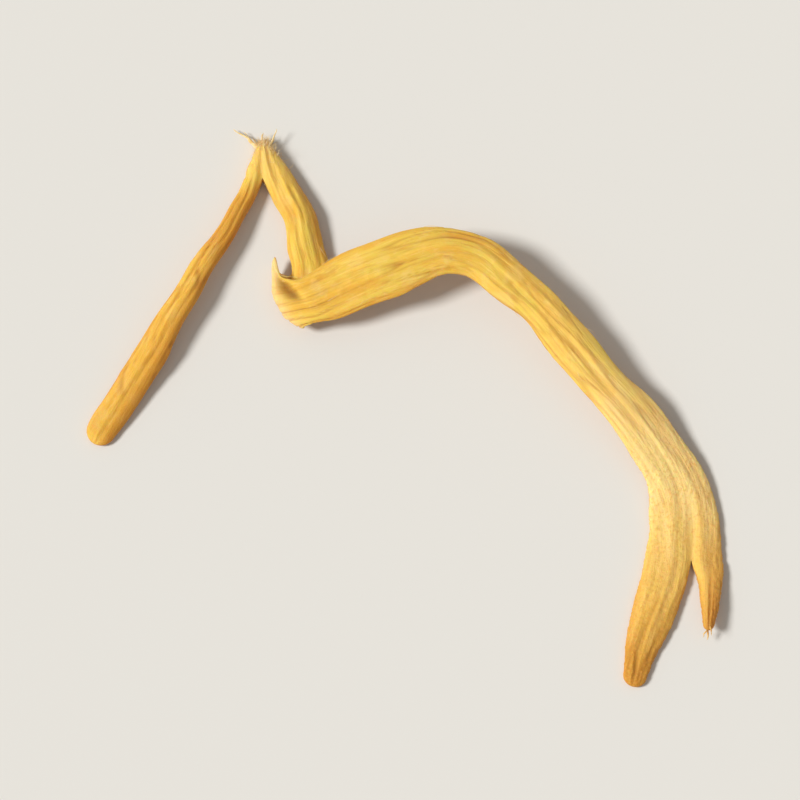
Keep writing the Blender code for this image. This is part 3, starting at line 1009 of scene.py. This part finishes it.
# Root, bend and tip of each thread, with its root's diameter.
THREADS = (
    ((-11.9, 24.1, 0.8), (-12.7, 25.2, 0.9), (-14.5, 26.6, 0.5), 0.46),
    ((-12.1, 24.2, 0.7), (-12.6, 25.4, 0.7), (-13.9, 26.4, 0.3), 0.24),
    ((-11.4, 24.3, 0.9), (-10.9, 25.3, 1.2), (-10.7, 26.3, 1.4), 0.32),
    ((-11.7, 24.6, 0.9), (-12.0, 25.5, 1.1), (-11.9, 26.1, 1.0), 0.28),
    ((-12.0, 24.4, 0.6), (-12.4, 25.1, 0.5), (-12.7, 25.8, 0.3), 0.28),
    ((-11.3, 24.6, 0.7), (-11.0, 25.2, 0.6), (-10.8, 25.7, 0.3), 0.24),
)
FRAYED = (
    ((29.4, -21.4, 1.6), (29.2, -22.1, 1.5), (28.9, -22.5, 1.2), 0.26),
    ((29.5, -21.4, 1.7), (29.6, -22.1, 1.8), (29.7, -22.4, 1.7), 0.22),
    ((29.3, -21.4, 1.5), (29.4, -22.2, 1.3), (29.3, -22.7, 1.0), 0.28),
)


def bent_threads(rows, seed):
    """Paths and radii of threads that bend from root to tip and crinkle as they dry.

    Formula: root, bend and tip weighted by (1 - t)^2, 2t(1 - t) and t^2, with noise added that
    grows towards the tip and with the thread's length.
    """
    root, bend, tip = np.moveaxis(np.array([row[:3] for row in rows]) - MIDDLE, 1, 0)
    share = np.linspace(0, 1, THREAD_STEPS)
    each = np.arange(len(rows))[:, None] * THREAD_APART
    t = share[:, None]
    path = root[:, None] * (1 - t) ** 2 + 2 * bend[:, None] * t * (1 - t) + tip[:, None] * t**2
    crinkle = CRINKLE * np.linalg.norm(tip - root, axis=1)[:, None] * share
    path[..., 0] += crinkle * (noise(each, share * CRINKLES, 0.0, seed) - 0.5)
    path[..., 2] += CRINKLE_UP * crinkle * (noise(each, share * CRINKLES, 0.0, seed + 1) - 0.5)
    radius = 0.5 * np.array([row[3] for row in rows])[:, None] * (1 - ROOT_TAPER * share)
    return path, radius * (THINNEST + noise(each, share * BULGES, 0.0, seed + 2))


torn, frayed = bent_threads(THREADS, seed=6), bent_threads(FRAYED, seed=9)
add_tubes("torn_threads", *torn, THREAD_SIDES, mycelium_fibre, "torn_foot")
add_tubes("frayed_tip", *frayed, FRAYED_SIDES, flesh_fibre, "dried_head")

# %% [markdown]
# ## Fluff
# The torn foot keeps some of the pale fluff that the fungus grows in, thickest at its end and
# thinning out down the stems. A hair system could grow it, but the exported model would lose it.
# So each hair is a small tube that starts at a point of the skin, leans towards the foot's end,
# lies close and curls. Chance decides where, how long and which way, from a fixed seed.

# %% Fluff
FLUFF, HAIR_STEPS, FLUFF_SIDES = 700, 12, 4
FLUFF_SPREAD = 1.1  # length over which the fluff thins out down the stems
FLUFF_END = 6  # length at which there is none left
FLUFF_FLOOR = 0.15  # height of the lowest roots
FLUFF_LENGTH, FLUFF_RADIUS = (0.2, 0.6), (0.009, 0.017)  # from, to
FLUFF_LEAN, FLUFF_CHANCE = (0, 0.4, 0), 0.6  # towards the foot's end; spread of the chance in it
FLUFF_ARCH = (0.35, 1.2)  # how a hair lifts off: height, and share of its length to come down in
FLUFF_CURL = (0.12, 3, 8)  # the curl's width, and the angle that it turns by, from and to
FLUFF_TAPER = 0.6  # share of its radius that a hair loses
ROOT_DEPTH = 0.02  # how deep a hair's root is in the skin


def rooted(root, length, way, width, curl):
    """Paths of hairs from these points of the skin.

    Formula: root + length * (way + width * (sine of the curl - its sine at the root)).
    """
    start = moved[root] - ROOT_DEPTH * outward[root]
    return start[:, None] + length * (way + width * (np.sin(curl) - np.sin(curl[:, :1])))


body_mesh.vertex_normals.foreach_get("vector", flat_normals)
outward = flat_normals.reshape(-1, 3)
draw = np.random.default_rng(5)
near_foot = np.flatnonzero((along < FLUFF_END) & (moved[:, 2] > FLUFF_FLOOR))
weight = np.exp(-along[near_foot] / FLUFF_SPREAD)
root = draw.choice(near_foot, FLUFF, p=weight / weight.sum())
length = draw.uniform(*FLUFF_LENGTH, FLUFF)[:, None, None]
lean = draw.normal(0, FLUFF_CHANCE, (FLUFF, 3)) + np.array(FLUFF_LEAN)
lean -= outward[root] * np.minimum(np.sum(lean * outward[root], axis=1), 0)[:, None]
share = np.linspace(0, 1, HAIR_STEPS)[:, None]
curl = draw.uniform(0, TURN, (FLUFF, 1, 3))
curl = curl + share * draw.uniform(*FLUFF_CURL[1:], (FLUFF, 1, 3))
arch = FLUFF_ARCH[0] * share * (FLUFF_ARCH[1] - share)
way = lean[:, None] * share + outward[root][:, None] * arch
paths = rooted(root, length, way, FLUFF_CURL[0], curl)
radii = draw.uniform(*FLUFF_RADIUS, FLUFF)[:, None] * (1 - FLUFF_TAPER * share[:, 0])
add_tubes("foot_fluff", paths, radii, FLUFF_SIDES, mycelium_fibre, "torn_foot")

# %% [markdown]
# ## Loose fibres
# Here and there a fibre has come loose from the broad stem's skin. It is rooted in the skin, runs
# the way that the stem runs there, which two rings of points tell, and lifts off a little.

# %% Loose fibres
LOOSE, LOOSE_SIDES = 60, 5
LOOSE_RINGS = (20, -30)  # first and last ring that has any, counted from the stem's two ends
RINGS_ON = 8  # how many rings further on the stem's direction is read
LOOSE_LENGTH, LOOSE_LIFT, LOOSE_RADIUS = (0.6, 2.0), (0.03, 0.12), (0.015, 0.03)  # from, to
LOOSE_CURL = (0.06, 4)  # its width, and the angle that it turns by
LOOSE_TAPER = 0.8
row = draw.integers(LOOSE_RINGS[0], len(broad_grid) + LOOSE_RINGS[1], LOOSE)
column = draw.integers(0, BROAD_AROUND, LOOSE)
root = broad_grid[row, column]
run = unit(moved[broad_grid[row + RINGS_ON, column]] - moved[root])
length = draw.uniform(*LOOSE_LENGTH, LOOSE)[:, None, None]
lift = draw.uniform(*LOOSE_LIFT, LOOSE)[:, None, None]
curl = draw.uniform(0, TURN, (LOOSE, 1, 3)) + share * LOOSE_CURL[1]
way = run[:, None] * share + outward[root][:, None] * lift * share
paths = rooted(root, length, way, LOOSE_CURL[0], curl)
radii = draw.uniform(*LOOSE_RADIUS, LOOSE)[:, None] * (1 - LOOSE_TAPER * share[:, 0])
add_tubes("loose_fibres", paths, radii, LOOSE_SIDES, mycelium_fibre, "dried_stem")

# %% [markdown]
# ## Camera
# The photo looks down at about 76 degrees. A long lens from the front keeps that view, closer in,
# so that the piece fills the picture.

# %% Camera
LENS = 150  # mm
ELEVATION = math.radians(76)
TARGET = Vector((0.0, 0.0, 0.0015))  # metres
DISTANCE = 0.31
NEAREST = 0.01  # metres in front of it at which things begin to show
camera = new_object("camera", bpy.data.cameras.new("camera"))
scene.camera = camera
camera.data.lens = LENS
camera.location = TARGET + DISTANCE * Vector((0, -math.cos(ELEVATION), math.sin(ELEVATION)))
camera.rotation_euler = (TARGET - camera.location).to_track_quat("-Z", "Y").to_euler()
camera.data.clip_start = NEAREST
print("camera at", [round(x, 3) for x in camera.location], "m")

# %% [markdown]
# ## Light
# In the photo the piece is bright along its left edges and orange along its right ones, so the
# key light comes from the left, about 45 degrees up. It is wide enough for soft shadows, and the
# pale surroundings fill them.

# %% Light
FILL = ((1.0, 0.98, 0.95, 1), 0.34)  # colour and strength of the surroundings
KEY_STRENGTH, KEY_WIDTH = 3.0, math.radians(16)
KEY_PLACE = (-0.46, -0.05, 0.48)
scene.view_settings.view_transform = "Standard"
world = bpy.data.worlds.new("studio")
scene.world = world
world.use_nodes = True
surroundings = {"Color": FILL[0], "Strength": FILL[1]}
set_inputs(world.node_tree, world.node_tree.nodes["Background"], surroundings)
key_data = bpy.data.lights.new("key", "SUN")
key_data.energy = KEY_STRENGTH
key_data.angle = KEY_WIDTH
key = new_object("key", key_data)
key.location = KEY_PLACE
key.rotation_euler = (-key.location).to_track_quat("-Z", "Y").to_euler()
print("key light turned", [round(math.degrees(turned)) for turned in key.rotation_euler], "degrees")

# %% [markdown]
# ## Floor
# A plain matt board, a little darker than white so that it doesn't wash the picture out, and rough
# enough to show no gloss. Far from the piece it sweeps up on all sides, so that a low view shows no
# horizon. Its height is a smooth step of the distance from the middle.

# %% Floor
FLAT_RADIUS, SWEEP_RADIUS, SWEEP_HEIGHT = 500, 2500, 300
FLOOR_AROUND, SWEEP_RINGS = 96, 33
sweep = np.linspace(FLAT_RADIUS, SWEEP_RADIUS, SWEEP_RINGS)
away = np.concatenate([[FLAT_RADIUS / 2], sweep])[:, None]
round_floor = np.arange(FLOOR_AROUND) * TURN / FLOOR_AROUND
rise = SWEEP_HEIGHT * smooth(away, FLAT_RADIUS, SWEEP_RADIUS) * np.ones(FLOOR_AROUND)
floor_rings = np.stack([away * np.cos(round_floor), away * np.sin(round_floor), rise], -1)
floor_grid = np.arange(rise.size).reshape(rise.shape)
sheet = walls_between(floor_grid[1:], floor_grid[:-1])  # from the outer ring in, to face up
floor_mesh = smooth_mesh("floor", floor_rings.reshape(-1, 3), floor_grid[:1], sheet)
floor = new_object("floor", floor_mesh)
board, board_tree, board_shader = new_finish("matt_off_white_board")
set_inputs(board_tree, board_shader, {"Base Color": srgb("#e3e0d9"), "Roughness": 0.9})
floor_mesh.materials.append(board)
print("floor", len(floor_mesh.polygons), "faces,", 2 * SWEEP_RADIUS * MM, "m across")
